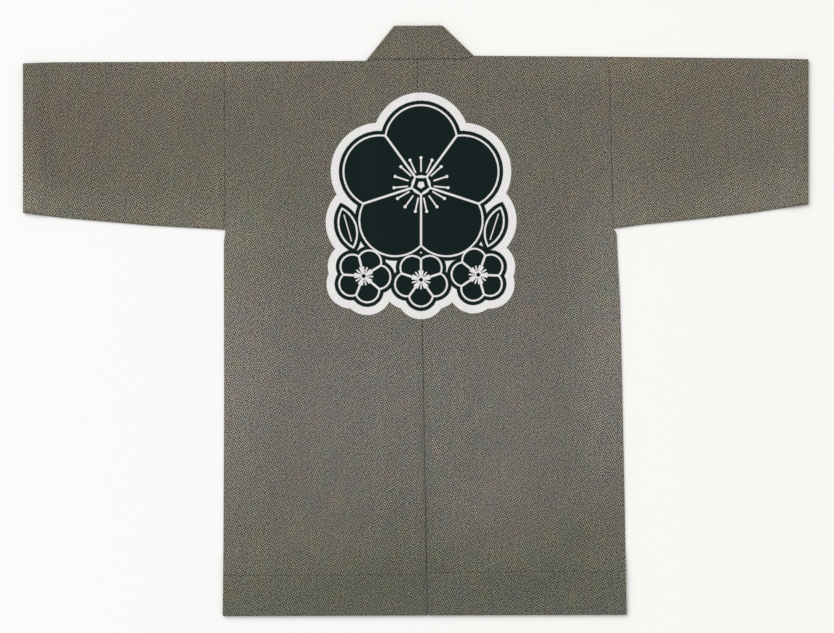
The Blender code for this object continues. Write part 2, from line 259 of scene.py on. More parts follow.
# %% [markdown]
# How high the upper layer lies
#
# A coat laid on a table is never quite flat. The back rests on the fronts, steps up over the
# collar band that lies under it and over the two turned-up hems, and lifts here and there in soft
# ridges. Each ridge or trough is one row of a table, a line with a height and a width, so that
# a fold can be moved without touching any code. Small waves with odd lengths and headings keep
# the cloth between the folds from looking like a sheet of metal.

# %% Soft ridges, troughs and waves
PUFF = 1.0
EDGE_FADE = 40.0
WAVE_FADE = 12.0
Fold = namedtuple("Fold", "name x0 y0 x1 y1 height width")
FOLDS = (
    Fold("low right ridge", 40, -372, 186, -259, 2.2, 34),
    Fold("low right trough", 130, -405, 300, -282, -0.9, 30),
    Fold("outer right ridge", 215, -395, 318, -250, 1.6, 28),
    Fold("trough by the centre seam", -12, -280, -10, -395, -0.9, 18),
    Fold("ridge left of that trough", -52, -260, -60, -400, 1.2, 26),
    Fold("long left streak", -123, 70, -116, -230, 1.0, 24),
    Fold("middle of the back", -150, 40, 170, -90, 0.9, 110),
    Fold("left hip ridge", -262, -150, -236, -330, 1.1, 30),
    Fold("right shoulder ridge", 150, 330, 250, 250, 1.2, 45),
    Fold("left shoulder ridge", -165, 335, -245, 235, 1.0, 45),
    Fold("left sleeve crease", -407, 250, -410, 172, -0.9, 12),
    Fold("left sleeve ridge", -390, 330, -372, 195, 1.5, 26),
    Fold("left cuff ridge", -560, 365, -500, 235, 1.1, 34),
    Fold("right sleeve ridge", 400, 345, 430, 210, 1.4, 30),
    Fold("right cuff ridge", 500, 265, 585, 345, 1.0, 36),
)
Wave = namedtuple("Wave", "length heading height phase")
WAVES = (
    Wave(length=143, heading=72, height=0.16, phase=0.4),
    Wave(length=97, heading=-38, height=0.12, phase=2.1),
    Wave(length=61, heading=15, height=0.07, phase=4.0),
    Wave(length=43, heading=112, height=0.045, phase=1.3),
    Wave(length=29, heading=-75, height=0.022, phase=5.2),
)
BEND = 0.9
BEND_LENGTH = 2.7
BEND_PHASE = 3


def room(x, y):
    """Distance from the nearest edge of the coat's outline, where the upper layer lies down."""
    half = LEFT if x < read(CENTRE, y) else RIGHT
    nearest = read(TOP, x) - y
    beyond_side = half.out * (x - read(half.side, y))
    if beyond_side > 0 and y > half.underarm_y:
        return min(nearest, y - read(half.under_sleeve, x), half.out * (half.cuff_x - x))
    above_hem = y - read(HEM, x) - half.hem_depth
    from_side = hypot(beyond_side, max(y - half.underarm_y, 0.0))
    return min(nearest, above_hem, from_side)


def fold_height(fold, x, y):
    length = hypot(fold.x1 - fold.x0, fold.y1 - fold.y0)
    along_x = (fold.x1 - fold.x0) / length
    along_y = (fold.y1 - fold.y0) / length
    reach = (x - fold.x0) * along_x + (y - fold.y0) * along_y
    beyond = max(-reach, reach - length, 0.0)
    aside = (x - fold.x0) * along_y - (y - fold.y0) * along_x
    return fold.height * exp(-(aside / fold.width) ** 2 - (beyond / (2 * fold.width)) ** 2)


def wave_height(x, y):
    height = 0.0
    for wave in WAVES:
        across = x * cos(radians(wave.heading)) + y * sin(radians(wave.heading))
        aside = y * cos(radians(wave.heading)) - x * sin(radians(wave.heading))
        bend = BEND * sin(tau * aside / (BEND_LENGTH * wave.length) + BEND_PHASE * wave.phase)
        height += wave.height * (1 + sin(tau * across / wave.length + bend + wave.phase))
    return height


def lift(x, y):
    """How far the upper layer stands off the layers that it could lie flat on."""
    rise = PUFF + sum(fold_height(fold, x, y) for fold in FOLDS)
    inside = room(x, y)
    return max(rise, 0.0) * soft(inside / EDGE_FADE) + wave_height(x, y) * soft(inside / WAVE_FADE)


def back_height(half, x, y):
    """Middle of the back's wall: it steps up over the collar band and over the turned-up hems."""
    outside_band = half.out * (x - collar_seam(half, y))
    over_band = 1 - soft(outside_band / BAND_SLOPE)
    above_hem = y - read(HEM, x) - half.hem_depth
    over_hem = 1 - soft(above_hem / HEM_SLOPE)
    under = mix(OVER_FRONT, OVER_BAND, over_band)
    return mix(under, OVER_HEMS, over_hem) + lift(x, y) + HALF_CLOTH


print(f"the back lies {back_height(RIGHT, 150, 0):.1f} mm up in the middle of the right half")

# %% [markdown]
# A wall of cloth
#
# Each piece is a grid of points down the middle of the cloth, with an outward direction at each.
# Half the thickness to either side gives the two faces, and a strip closes each free edge. At a
# seam the real cloth turns down into the seam allowance, so the outer face rolls over there: two
# such edges side by side make the groove that shows as a thin dark line. Every point also keeps
# its place on the flat, uncut cloth in a UV map, measured along the outer face, so the weave runs
# round each fold as woven.

# %% Build a wall from its middle
SEAM_ROLL = 1.7
SEAM_DROP = 0.95
CENTRE_ROLL = 2.5
CENTRE_DROP = 1.05
INKED = (1.5, 370.5)
INK_FADE = 8.0
INKED_DROP = 0.2
NARROW_GAP = 0.12
WIDE_GAP = 0.95
NECK_GAP = 0.03
NECK_ROLL = 0.6
NECK_DROP = 0.12
BAND_ROLL = 0.35
BAND_DROP = 0.07
SHARP_FROM = 50


def rolled(from_seam, roll=SEAM_ROLL, drop=SEAM_DROP):
    """How far the outer face sinks, this far from a seam."""
    if from_seam >= roll:
        return 0.0
    share = 1 - max(from_seam, 0.0) / roll
    return drop * (1 - sqrt(max(0.0, 1 - share * share)))


def centre_gap(y):
    """Width of the centre seam's slit: closed at the top and by the ink, and gaping below the print."""
    return mix(NARROW_GAP, WIDE_GAP, soft((INKED[0] - y) / INK_FADE + 0.5))


def centre_rolled(from_seam, y):
    """How far the back sinks at the centre seam, where the ink bridges all but a shallow groove."""
    bare = soft(max(y - INKED[1], INKED[0] - y) / INK_FADE + 0.5)
    return rolled(from_seam, CENTRE_ROLL, mix(INKED_DROP, CENTRE_DROP, bare))


def half_turn(steps):
    """The angles between the two ends of a half turn."""
    return [pi * number / steps for number in range(1, steps)]


def both_faces(place, outward, sink=0.0):
    """Outer and inner point of the wall at a place on its middle."""
    size = hypot(*outward)
    outer = [p + (HALF_CLOTH - sink) * n / size for p, n in zip(place, outward)]
    inner = [p - HALF_CLOTH * n / size for p, n in zip(place, outward)]
    return outer, inner


def wall(name, rows, ring=False, filled=None, maps=("Threads",)):
    """A closed mesh. Each point of a row is (outer, inner, outer UV, inner UV), with a UV for each map."""
    columns = len(rows[0])
    across = columns if ring else columns - 1
    cells = {
        (row, column)
        for row in range(len(rows) - 1)
        for column in range(across)
        if filled is None or filled(row, column)
    }
    vertices, places, faces, numbers = [], [], [], {}

    def vertex(side, row, column):
        key = (side, row, column % columns)
        if key not in numbers:
            numbers[key] = len(vertices)
            point = rows[row][column % columns]
            vertices.append([METRES * value for value in point[side]])
            places.append([[METRES * value for value in place] for place in point[2 + side]])
        return numbers[key]

    for row, column in sorted(cells):
        loop = ((row, column), (row, column + 1), (row + 1, column + 1), (row + 1, column))
        faces.append([vertex(0, *corner) for corner in loop])
        faces.append([vertex(1, *corner) for corner in reversed(loop)])
        beyond = ((row - 1, column), (row, column + 1), (row + 1, column), (row, column - 1))
        for edge, (next_row, next_column) in enumerate(beyond):
            if (next_row, next_column % columns if ring else next_column) in cells:
                continue
            first, second = loop[edge], loop[(edge + 1) % 4]
            faces.append([vertex(0, *second), vertex(0, *first), vertex(1, *first), vertex(1, *second)])
    mesh = bpy.data.meshes.new(name)
    mesh.from_pydata(vertices, [], faces)
    for number, map_name in enumerate(maps):
        layer = mesh.uv_layers.new(name=map_name)
        flat = [value for corner in mesh.loops for value in places[corner.vertex_index][number]]
        layer.uv.foreach_set("vector", flat)
    return finished_piece(name, mesh)


def finished_piece(name, mesh):
    """Turns all faces outward, smooths them and puts the piece in the scene."""
    work = bmesh.new()
    work.from_mesh(mesh)
    bmesh.ops.recalc_face_normals(work, faces=work.faces)
    work.to_mesh(mesh)
    work.free()
    mesh.shade_smooth()
    mesh.set_sharp_from_angle(angle=radians(SHARP_FROM))
    piece = bpy.data.objects.new(name, mesh)
    bpy.context.scene.collection.objects.link(piece)
    triangles = sum(len(face.vertices) - 2 for face in mesh.polygons)
    print(f"{name}: {triangles} triangles")
    return piece


def lengths_along(line):
    """Distance along a line of places, from its start."""
    total, found = 0.0, [0.0]
    for a, b in zip(line, line[1:]):
        total += (Vector(b) - Vector(a)).length
        found.append(total)
    return found


# %% [markdown]
# The body lengths
#
# One body length is a strip of cloth that starts inside the back hem, folds out at the bottom,
# goes up the back, over the shoulder, down the front and ends inside the front hem. So it is
# made as lengthwise lines side by side, each one a profile with three half turns in it. The back
# reaches in to the centre seam, and the front stops at the collar seam. A line in the neck has
# no front, so its cells past the shoulder are left out.

# %% Rows and columns of a body length
STEP = 6.0
FRONT_STEP = 16.0
TURN_STEPS = 10
NEAR_STITCH = (-4.0, -2.2, -1.1, 0.0, 1.1, 2.2, 4.0)


def back_rows(half):
    low = HEM_Y + TURN + HALF_CLOTH
    rows = spaced(low, hem_line(half) + NEAR_STITCH[0], STEP)[:-1]
    rows += [hem_line(half) + offset for offset in NEAR_STITCH]
    rows += spaced(rows[-1], UNDERARM_Y - UNDERARM_STEP, STEP)[1:]
    rows += spaced(rows[-1], UNDERARM_Y, STEP / 2)[1:]
    return rows + spaced(UNDERARM_Y, TOP_Y, STEP, fine_end=True)[1:]


def front_rows(half):
    rows = spaced(TOP_Y, LEAN_FROM, FRONT_STEP)[1:]
    rows += [half.underarm_y, half.underarm_y - UNDERARM_STEP]
    rows += spaced(rows[-1], hem_line(half) + NEAR_STITCH[-1], FRONT_STEP)[1:-1]
    rows += [hem_line(half) + offset for offset in reversed(NEAR_STITCH)]
    return rows + spaced(rows[-1], HEM_Y + 2 * CLOTH, FRONT_STEP)[1:]


def column_shares(half):
    """Share of the width from the side seam to the collar seam, and on from there to the centre."""
    to_seam = abs(half.neck.x - read(half.side, TOP_Y))
    to_centre = abs(half.neck.x - read(CENTRE, TOP_Y))
    side = [place / to_seam for place in spaced(0, to_seam, STEP, True, True)]
    neck = [1 + place / to_centre for place in spaced(0, to_centre, STEP, True, True)[1:]]
    return side, neck


def column_x(half, share, y):
    """X of a lengthwise line: out at the side seam for share 0, at the collar seam for 1, in for 2."""
    side = read(half.side, y)
    seam = collar_seam(half, y) + half.out * GAP / 2
    if share <= 1:
        return mix(side, seam, share)
    return mix(seam, read(CENTRE, y) + half.out * centre_gap(y) / 2, share - 1)


def settled(half, share, y):
    """Where a lengthwise line meets a row of the back, which follows the hem, underarm and shoulder."""
    x = column_x(half, share, y)
    at_underarm = half.underarm_y - UNDERARM_Y
    if y < UNDERARM_Y:
        y += mix(at_underarm, read(HEM, x) - HEM_Y, (UNDERARM_Y - y) / (UNDERARM_Y - HEM_Y))
    else:
        y += mix(at_underarm, read(TOP, x) - TOP_Y, (y - UNDERARM_Y) / (TOP_Y - UNDERARM_Y))
    return column_x(half, share, y), y


# %% One lengthwise line
STITCH_SINK = 0.42
STITCH_GROOVE = 1.5
HEM_SHARES = (1.0, 0.97, 0.75, 0.5, 0.25, 0.0)
RAW_EDGE = 2.0


def stitch_groove(half, x, y):
    """How far the hem's row of stitches pulls the outer face in."""
    from_stitches = y - read(HEM, x) - half.hem_depth + STITCH_INSET
    return STITCH_SINK * exp(-(from_stitches / STITCH_GROOVE) ** 2)


def body_line(half, share):
    in_neck = share > 1
    line = []

    def add(x, y, z, out_y, out_z, sink=0.0):
        """One point of the line, whose outer face sinks where a seam is near."""
        sink = max(sink, rolled(abs(x - read(half.side, y))))
        if len(line) < back_end:
            sink = max(sink, centre_rolled(abs(x - read(CENTRE, y)) - centre_gap(y) / 2, y))
        else:
            sink = max(sink, rolled(abs(x - collar_seam(half, y)) - GAP / 2))
        line.append(((x, y, z), (0, out_y, out_z), sink))

    def turn(x, centre_y, centre_z, radius, way):
        for angle in half_turn(TURN_STEPS):
            out_y, out_z = way * sin(angle), way * cos(angle)
            add(x, centre_y + radius * out_y, centre_z + radius * out_z, out_y, out_z)

    def turned_up(hem_share, height, out_z):
        """A point of the hem inside, between its fold for share 0 and its raw edge for 1."""
        x = column_x(half, share, mix(HEM_Y, hem_line(half), hem_share))
        low = read(HEM, x) + TURN + HALF_CLOTH
        add(x, mix(low, read(HEM, x) + half.hem_depth - RAW_EDGE, hem_share), height, 0, out_z)
        return x, low

    rows = back_rows(half)
    back_end = len(HEM_SHARES) + TURN_STEPS - 1 + len(rows)
    inner_hem = OVER_BAND + HALF_CLOTH
    for hem_share in HEM_SHARES:
        x, low = turned_up(hem_share, inner_hem, -1)
    turn(x, low, inner_hem + TURN, TURN, -1)
    for nominal in rows[:-1]:
        x, y = settled(half, share, nominal)
        if not in_neck:
            y = min(y, read(TOP, x) - HALF_CLOTH - back_height(half, x, read(TOP, x) - 1) / 2)
        height = back_height(half, x, y)
        slope = (back_height(half, x, y + 1) - back_height(half, x, y - 1)) / 2
        sink = stitch_groove(half, x, y)
        if in_neck:
            sink = max(sink, rolled(read(TOP, x) + GAP / 2 - NECK_GAP - y, NECK_ROLL, NECK_DROP))
        add(x, y, height, -slope, 1, sink)
    x = settled(half, share, TOP_Y)[0]
    if in_neck:
        add(x, read(TOP, x) + GAP / 2 - NECK_GAP, OVER_BAND + HALF_CLOTH, 0, 1, NECK_DROP)
        return line
    upper = back_height(half, x, read(TOP, x) - 1)
    radius = (upper - HALF_CLOTH) / 2
    crown = read(TOP, x) - radius - HALF_CLOTH
    add(x, crown, upper, 0, 1)
    turn(x, crown, HALF_CLOTH + radius, radius, 1)
    add(x, crown, HALF_CLOTH, 0, -1)
    for nominal in front_rows(half):
        x = column_x(half, share, nominal)
        y = nominal + (read(HEM, x) - HEM_Y if nominal < half.underarm_y - UNDERARM_STEP else 0)
        add(x, y, HALF_CLOTH, 0, -1, stitch_groove(half, x, y))
    x = column_x(half, share, HEM_Y)
    low = read(HEM, x) + TURN + HALF_CLOTH
    add(x, low, HALF_CLOTH, 0, -1)
    turn(x, low, HALF_CLOTH + TURN, TURN, -1)
    for hem_share in reversed(HEM_SHARES):
        turned_up(hem_share, OVER_FRONT + HALF_CLOTH, 1)
    return line


# %% Both body lengths
NOWHERE = (9000.0, 9000.0)
HEM_TURN_ROWS = len(HEM_SHARES) + TURN_STEPS


def body_length(half):
    side, neck = column_shares(half)
    lines = [body_line(half, share) for share in side + neck]
    threads = [lengths_along([both_faces(*point[:2])[0] for point in line]) for line in lines]
    whole_width = len(lines[-1])
    rows = []
    for row in range(len(lines[0])):
        points = []
        for column, line in enumerate(lines):
            place, outward, sink = line[min(row, len(line) - 1)]
            thread = (place[0], threads[column][min(row, len(line) - 1)])
            printed = place[:2] if HEM_TURN_ROWS < row < whole_width - 1 else NOWHERE
            points.append((*both_faces(place, outward, sink), (thread, printed), (thread, NOWHERE)))
        rows.append(points)

    def filled(row, column):
        return row < whole_width - 1 or column < len(side) - 1

    return wall(f"body_cloth_{half.name}", rows, filled=filled, maps=("Threads", "Back print"))


body_cloths = {half.name: body_length(half) for half in (LEFT, RIGHT)}

# %% [markdown]
# The sleeves
#
# A sleeve is one rectangle of cloth, folded along the shoulder and sewn along its lower edge, so
# laid flat it is a squashed tube. It is made of rings: each ring goes across the top, round the
# fold, back underneath and round the lower edge. At the cuff the rings turn over and go back
# inside, which is how the end is hemmed.

# %% Rings of a sleeve
ARMHOLE_Y = 290.0
LOWER_SEAM = 0.38
LOWER_SEAM_SPAN = 0.3
SLEEVE_HEIGHT = 265.0
SLEEVE_SHARES = [place / SLEEVE_HEIGHT for place in spaced(0, SLEEVE_HEIGHT, STEP)]
SLEEVE_UNDER_SHARES = [place / SLEEVE_HEIGHT for place in spaced(0, SLEEVE_HEIGHT, FRONT_STEP)]


def sleeve_ring(half, part, from_cuff, inset, tilt):
    """One ring: inset is how far inside the outer ring it is, and tilt its turn at the cuff."""
    stack = 2 * TURN + 4 * TURN * (1 - soft((from_cuff - CUFF_DEPTH - CUFF_LEVEL) / CUFF_SLOPE))
    radius = stack / 2 - inset
    middle = HALF_CLOTH + stack / 2
    near_x = mix(read(half.side, ARMHOLE_Y), half.cuff_x, part)
    low = read(half.under_sleeve, near_x) + HALF_CLOTH + stack / 2
    high = read(TOP, near_x) - HALF_CLOTH - stack / 2

    def fold(edge, start):
        outward = [(sin(start + angle), cos(start + angle)) for angle in half_turn(TURN_STEPS)]
        return [(edge + radius * out_y, middle + radius * out_z, out_y, out_z) for out_y, out_z in outward]

    section = [(mix(low, high, share), middle + radius, 0, 1) for share in SLEEVE_SHARES]
    section += fold(high, 0.0)
    section += [(mix(high, low, share), middle - radius, 0, -1) for share in SLEEVE_UNDER_SHARES]
    section += fold(low, pi)
    ring = []
    for number, (y, z, out_y, out_z) in enumerate(section):
        start = read(half.side, y) + half.out * half.armhole_gap
        x = mix(start, half.cuff_x, part)
        if number < len(SLEEVE_SHARES):
            z += lift(x, y)
        outward = (half.out * sin(tilt), out_y * cos(tilt), out_z * cos(tilt))
        sink = rolled(abs(x - start)) if tilt == 0 else 0.0
        if out_y < 0:
            sink = max(sink, LOWER_SEAM * exp(-((out_z / LOWER_SEAM_SPAN) ** 2)))
        ring.append(((x, y, z), outward, sink))
    return ring


def sleeve(half):
    length = half.out * (half.cuff_x - read(half.side, ARMHOLE_Y))
    reach = HALF_CLOTH + TURN
    stations = [(distance, 0.0) for distance in spaced(length, reach, STEP, fine_start=True)]
    stations += [(reach, angle) for angle in half_turn(TURN_STEPS) + [pi]]
    stations += [(distance, pi) for distance in spaced(reach, CUFF_DEPTH, STEP)[1:]]
    rows = []
    along = 0.0
    for distance, angle in stations:
        from_cuff = distance - TURN * sin(angle)
        inset = TURN * (1 - cos(angle))
        ring = sleeve_ring(half, 1 - from_cuff / length, max(from_cuff, reach), inset, angle)
        start = both_faces(*ring[0][:2])[0]
        if rows:
            along += hypot(start[0] - last[0], start[2] - last[2])
        last = start
        around = lengths_along([both_faces(*point[:2])[0] for point in ring])
        at_fold = around[len(SLEEVE_SHARES) + TURN_STEPS // 2 - 1]
        rows.append([])
        for point, turned in zip(ring, around):
            thread = ((half.out * along, turned - at_fold),)
            rows[-1].append((*both_faces(*point), thread, thread))
    return wall(f"sleeve_cloth_{half.name}", rows, ring=True)


sleeve_cloths = {half.name: sleeve(half) for half in (LEFT, RIGHT)}

# %% [markdown]
# The collar band
#
# The band is a strip folded double along its outer edge, with both raw edges sewn in at the neck
# and down the fronts. It comes up the left front underneath the coat, turns over in a slanting
# crease at the corner of the neck, crosses the back of the neck on top, and goes down the right
# front the same way. Its section, a long hairpin, is carried along by stations. Each station
# says where the seam edge and the folded edge are at any height through the band.

# %% Stations along the band
FAN_LENGTH = 1.5 * FAN
FAN_STEPS = 6
END_ROW = 1.5
LEAST_ROW = 2


def crease_station(half, angle):
    """The band in its half turn at the corner of the neck."""
    crease = (half.collar_top.x - half.neck.x, half.collar_top.y - half.neck.y)
    length = hypot(*crease)
    outward = (half.out * crease[1] / length, abs(crease[0]) / length)
    seam_start, seam_end = (TOP[4], TOP[3]) if half.out < 0 else (TOP[5], TOP[6])
    seam_along = (seam_end.x - seam_start.x, seam_end.y - seam_start.y)
    top_along = (RIGHT.collar_top.x - LEFT.collar_top.x, RIGHT.collar_top.y - LEFT.collar_top.y)

    def ends(height):
        offset = (BAND_TURN + height) * sin(angle) - BAND_TURN - BAND / 2
        start = (half.neck.x + outward[0] * offset, half.neck.y + outward[1] * offset)
        z = OVER_BAND - GAP / 2 - (BAND_TURN + height) * cos(angle)
        seam = meet(start, crease, (seam_start.x, seam_start.y + GAP / 2), seam_along)
        folded = meet(start, crease, half.collar_top, top_along)
        return (*seam, z), (*folded, z)

    turned = half.out * (BAND_TURN + BAND / 2) * (pi - angle) * length / crease[1]
    return ends, half.neck.x + turned, half.collar_top.x + turned


def flat_station(seam, folded, upper, seam_along, folded_along):
    """The band lying flat: on the table, or on top at the back of the neck."""

    def ends(height):
        z = OVER_BAND + BAND / 2 + height if upper else BAND / 2 - height
        return (*seam, z), (*folded, z)

    return ends, seam_along, folded_along


def front_stations(half):
    """Up a front, from the hem to the crease."""
    crease, crease_seam_along, crease_folded_along = crease_station(half, 0.0)
    crease_seam, crease_fold = crease(0.0)
    fan_from = crease_seam[1] - FAN
    fan_along = crease_seam_along + half.out * FAN_LENGTH
    bottom = read(HEM, read(CENTRE, HEM_Y)) + GAP
    heights = [bottom, bottom + END_ROW]
    heights += [y for y in reversed(front_rows(half)) if y < fan_from - LEAST_ROW]
    stations = []
    for y in heights + [fan_from]:
        seam = (collar_seam(half, y) - half.out * GAP / 2, y)
        folded = (seam[0] - half.out * BAND_WIDTH, y)
        along = fan_along + half.out * (fan_from - y)
        stations.append(flat_station(seam, folded, False, along, along))
    for number in range(1, FAN_STEPS):
        part = number / FAN_STEPS
        fan_seam = [mix(seam[axis], crease_seam[axis], part) for axis in (0, 1)]
        fan_fold = [mix(folded[axis], crease_fold[axis], part) for axis in (0, 1)]
        along = (mix(fan_along, crease_seam_along, part), mix(fan_along, crease_folded_along, part))
        stations.append(flat_station(fan_seam, fan_fold, False, *along))
    return stations


def neck_stations():
    """Across the back of the neck, from crease to crease."""
    left_seam, left_fold = crease_station(LEFT, pi)[0](0.0)
    right_seam, right_fold = crease_station(RIGHT, pi)[0](0.0)
    stations = []
    for seam_x in spaced(left_seam[0], right_seam[0], STEP)[1:-1]:
        part = (seam_x - left_seam[0]) / (right_seam[0] - left_seam[0])
        folded = [mix(left_fold[axis], right_fold[axis], part) for axis in (0, 1)]
        seam = (seam_x, read(TOP, seam_x) + GAP / 2)
        stations.append(flat_station(seam, folded, True, seam_x, folded[0]))
    return stations


# %% The folded section, carried along the stations
FOLD_STEPS = 8


def band_section():
    """The wall's middle across the band, as (distance from the seam, height, slope, outward) rows."""
    flat = spaced(0, BAND_WIDTH - BAND_FOLD - HALF_CLOTH, STEP, fine_start=True)
    section = [(across, BAND_FOLD, (0, 1)) for across in flat]
    for angle in half_turn(FOLD_STEPS):
        out = (sin(angle), cos(angle))
        section.append((flat[-1] + BAND_FOLD * out[0], BAND_FOLD * out[1], out))
    return section + [(across, -BAND_FOLD, (0, -1)) for across in reversed(flat)]


def collar_band():
    turns = [0.0, *half_turn(TURN_STEPS), pi]
    stations = front_stations(LEFT) + [crease_station(LEFT, angle) for angle in turns]
    stations += neck_stations() + [crease_station(RIGHT, angle) for angle in reversed(turns)]
    stations += reversed(front_stations(RIGHT))
    section = band_section()
    turned = lengths_along([both_faces((across, height), out)[0] for across, height, out in section])
    rows = []
    for ends, seam_along, folded_along in stations:
        row = []
        for (across, height, out), from_edge in zip(section, turned):
            sink = rolled(across, BAND_ROLL, BAND_DROP) if abs(out[1]) == 1 else 0.0
            faces = []
            for reach in (HALF_CLOTH - sink, -HALF_CLOTH):
                seam, folded = ends(height + out[1] * reach)
                share = (across + out[0] * reach) / BAND_WIDTH
                faces.append([mix(a, b, share) for a, b in zip(seam, folded)])
            thread = ((mix(seam_along, folded_along, across / BAND_WIDTH), from_edge),)
            row.append((*faces, thread, thread))
        rows.append(row)
    return wall("collar_band", rows)


collar_cloth = collar_band()

# %% [markdown]
# Hem stitches
#
# Both hems are turned up on the inside and caught by a row of short stitches, which shows on the
# outside as a thin broken line in a shallow groove. Each stitch is a little sausage of thread that
# dips into the cloth at both ends. No two are quite alike, so lengths and places vary a little,
# from a seeded random number generator that gives the same row each time.

# %% A row of stitches
STITCH_PITCH = 4.4
STITCH_LENGTH = 3.1
STITCH_RADIUS = 0.34
STITCH_RINGS = 7
STITCH_SIDES = 8
BLUNT_END = 0.06
FIRST_STITCH = 3.0
LENGTHS_VARY = (0.85, 1.12)
PITCHES_VARY = (0.93, 1.08)
STRAY = 0.12
PROUD = 0.75
PROUD_BELOW = 1.2
ARCH = 1.1


def stitch(vertices, faces, start, end, up):
    """Adds one stitch between two places on the cloth, with up as +1 on the back and -1 below."""
    along = (end - start).normalized()
    sideways = along.cross(Vector((0, 0, 1)))
    first = len(vertices)
    for ring in range(STITCH_RINGS):
        part = ring / (STITCH_RINGS - 1)
        bulge = sqrt(max(sin(pi * mix(BLUNT_END, 1 - BLUNT_END, part)), 0.0))
        middle = start.lerp(end, part)
        middle.z += up * STITCH_RADIUS * (ARCH * bulge - 1.0)
        for side in range(STITCH_SIDES):
            angle = tau * side / STITCH_SIDES
            reach = sideways * cos(angle) + Vector((0, 0, 1)) * sin(angle)
            vertices.append((middle + reach * STITCH_RADIUS * bulge) * METRES)
    for ring in range(STITCH_RINGS - 1):
        for side in range(STITCH_SIDES):
            low = first + ring * STITCH_SIDES
            after = (side + 1) % STITCH_SIDES
            faces.append((low + side, low + after, low + STITCH_SIDES + after, low + STITCH_SIDES + side))
    faces.append([first + side for side in range(STITCH_SIDES)])
    faces.append([first + (STITCH_RINGS - 1) * STITCH_SIDES + side for side in range(STITCH_SIDES)])


def stitch_row(name, half, start_x, end_x, up):
    """Stitches from start_x to end_x along the top of the hem."""
    chance = random.Random(name)
    vertices, faces = [], []
    x = start_x - half.out * FIRST_STITCH
    while (end_x - x) * -half.out > STITCH_PITCH:
        length = STITCH_LENGTH * chance.uniform(*LENGTHS_VARY)
        ends = []
        for reach in (0.0, -half.out * length):
            y = read(HEM, x) + half.hem_depth - STITCH_INSET + chance.uniform(-STRAY, STRAY)
            z = PROUD_BELOW * STITCH_RADIUS
            if up > 0:
                z = back_height(half, x, y) + HALF_CLOTH - STITCH_SINK + PROUD * STITCH_RADIUS
            ends.append(Vector((x + reach, y, z)))
        stitch(vertices, faces, *ends, up)
        x -= half.out * STITCH_PITCH * chance.uniform(*PITCHES_VARY)
    mesh = bpy.data.meshes.new(name)
    mesh.from_pydata(vertices, [], faces)
    return finished_piece(name, mesh)


HALF_MIDDLE = 160.0
stitch_rows = {}
for half in (LEFT, RIGHT):
    line_y = read(HEM, half.out * HALF_MIDDLE) + half.hem_depth
    side_x = read(half.side, line_y)
    stitch_rows[half.name] = (
        stitch_row(f"back_hem_stitches_{half.name}", half, side_x, read(CENTRE, line_y), 1),
        stitch_row(f"front_hem_stitches_{half.name}", half, side_x, collar_seam(half, line_y), -1),
    )

# %% [markdown]
# Nodes, laid out by code
#
# A finish is a tree of nodes, and every colour, bump and pattern here is worked out by such nodes
# with no picture behind it. Clicking them together by hand is fine for one material. In a
# script, a small bench that adds a node, sets it and wires it in one go keeps each effect to a few
# readable lines. Effects that several materials share are node groups with named sockets. Nodes
# measure in metres, so single sizes for them are in metres here, and only the tables of rows,
# spots and motifs stay in millimetres.

# %% A bench for nodes
SOCKETS = {"vector": "NodeSocketVector", "value": "NodeSocketFloat", "colour": "NodeSocketColor"}


class Bench:
    def __init__(self, tree):
        self.tree = tree

    def add(self, kind, **settings):
        node = self.tree.nodes.new(kind)
        for name, value in settings.items():
            setattr(node, name, value)
        return node

    def wire(self, value, socket):
        if isinstance(value, bpy.types.NodeSocket):
            self.tree.links.new(value, socket)
        elif value is not None:
            socket.default_value = value

    def fed(self, kind, *values, **settings):
        """A new node with these values in its first sockets."""
        node = self.add(kind, **settings)
        for value, socket in zip(values, node.inputs):
            self.wire(value, socket)
        return node

    def math(self, operation, *values):
        return self.fed("ShaderNodeMath", *values, operation=operation).outputs[0]

    def plus(self, first, second):
        return self.math("ADD", first, second)

    def minus(self, first, second):
        return self.math("SUBTRACT", first, second)

    def times(self, first, second):
        return self.math("MULTIPLY", first, second)

    def length(self, *sides):
        """Length of the slanted line over two sides at a right angle."""
        return self.math("SQRT", self.plus(*(self.math("POWER", side, 2.0) for side in sides)))

    def vector(self, operation, *values):
        node = self.fed("ShaderNodeVectorMath", *values, operation=operation)
        return node.outputs["Value" if operation in ("LENGTH", "DOT_PRODUCT") else "Vector"]

    def scaled(self, vector, factor):
        node = self.fed("ShaderNodeVectorMath", vector, operation="SCALE")
        self.wire(factor, node.inputs["Scale"])
        return node.outputs[0]

    def split(self, vector):
        return self.fed("ShaderNodeSeparateXYZ", vector).outputs

    def turned(self, place, centre, angle):
        """The place as seen from a centre, turned round it."""
        moved = self.vector("SUBTRACT", place, centre)
        node = self.fed("ShaderNodeVectorRotate", moved, rotation_type="Z_AXIS")
        self.wire(angle, node.inputs["Angle"])
        return node.outputs[0]

    def between(self, value, low, high, to_low=0.0, to_high=1.0, smooth=False):
        """Maps low..high onto to_low..to_high, and stays there outside."""
        kind = "SMOOTHSTEP" if smooth else "LINEAR"
        ranges = (value, low, high, to_low, to_high)
        return self.fed("ShaderNodeMapRange", *ranges, interpolation_type=kind).outputs[0]

    def noise(self, place, scale, detail=2.0, roughness=0.5, dimensions="3D"):
        node = self.fed("ShaderNodeTexNoise", place, noise_dimensions=dimensions)
        for name, value in (("Scale", scale), ("Detail", detail), ("Roughness", roughness)):
            self.wire(value, node.inputs[name])
        return node.outputs["Fac"]

    def colour(self, share, first, second, blend="MIX"):
        node = self.add("ShaderNodeMix", data_type="RGBA", blend_type=blend)
        self.wire(share, node.inputs[0])
        self.wire(first if not isinstance(first, tuple) else (*first, 1), node.inputs[6])
        self.wire(second if not isinstance(second, tuple) else (*second, 1), node.inputs[7])
        return node.outputs[2]


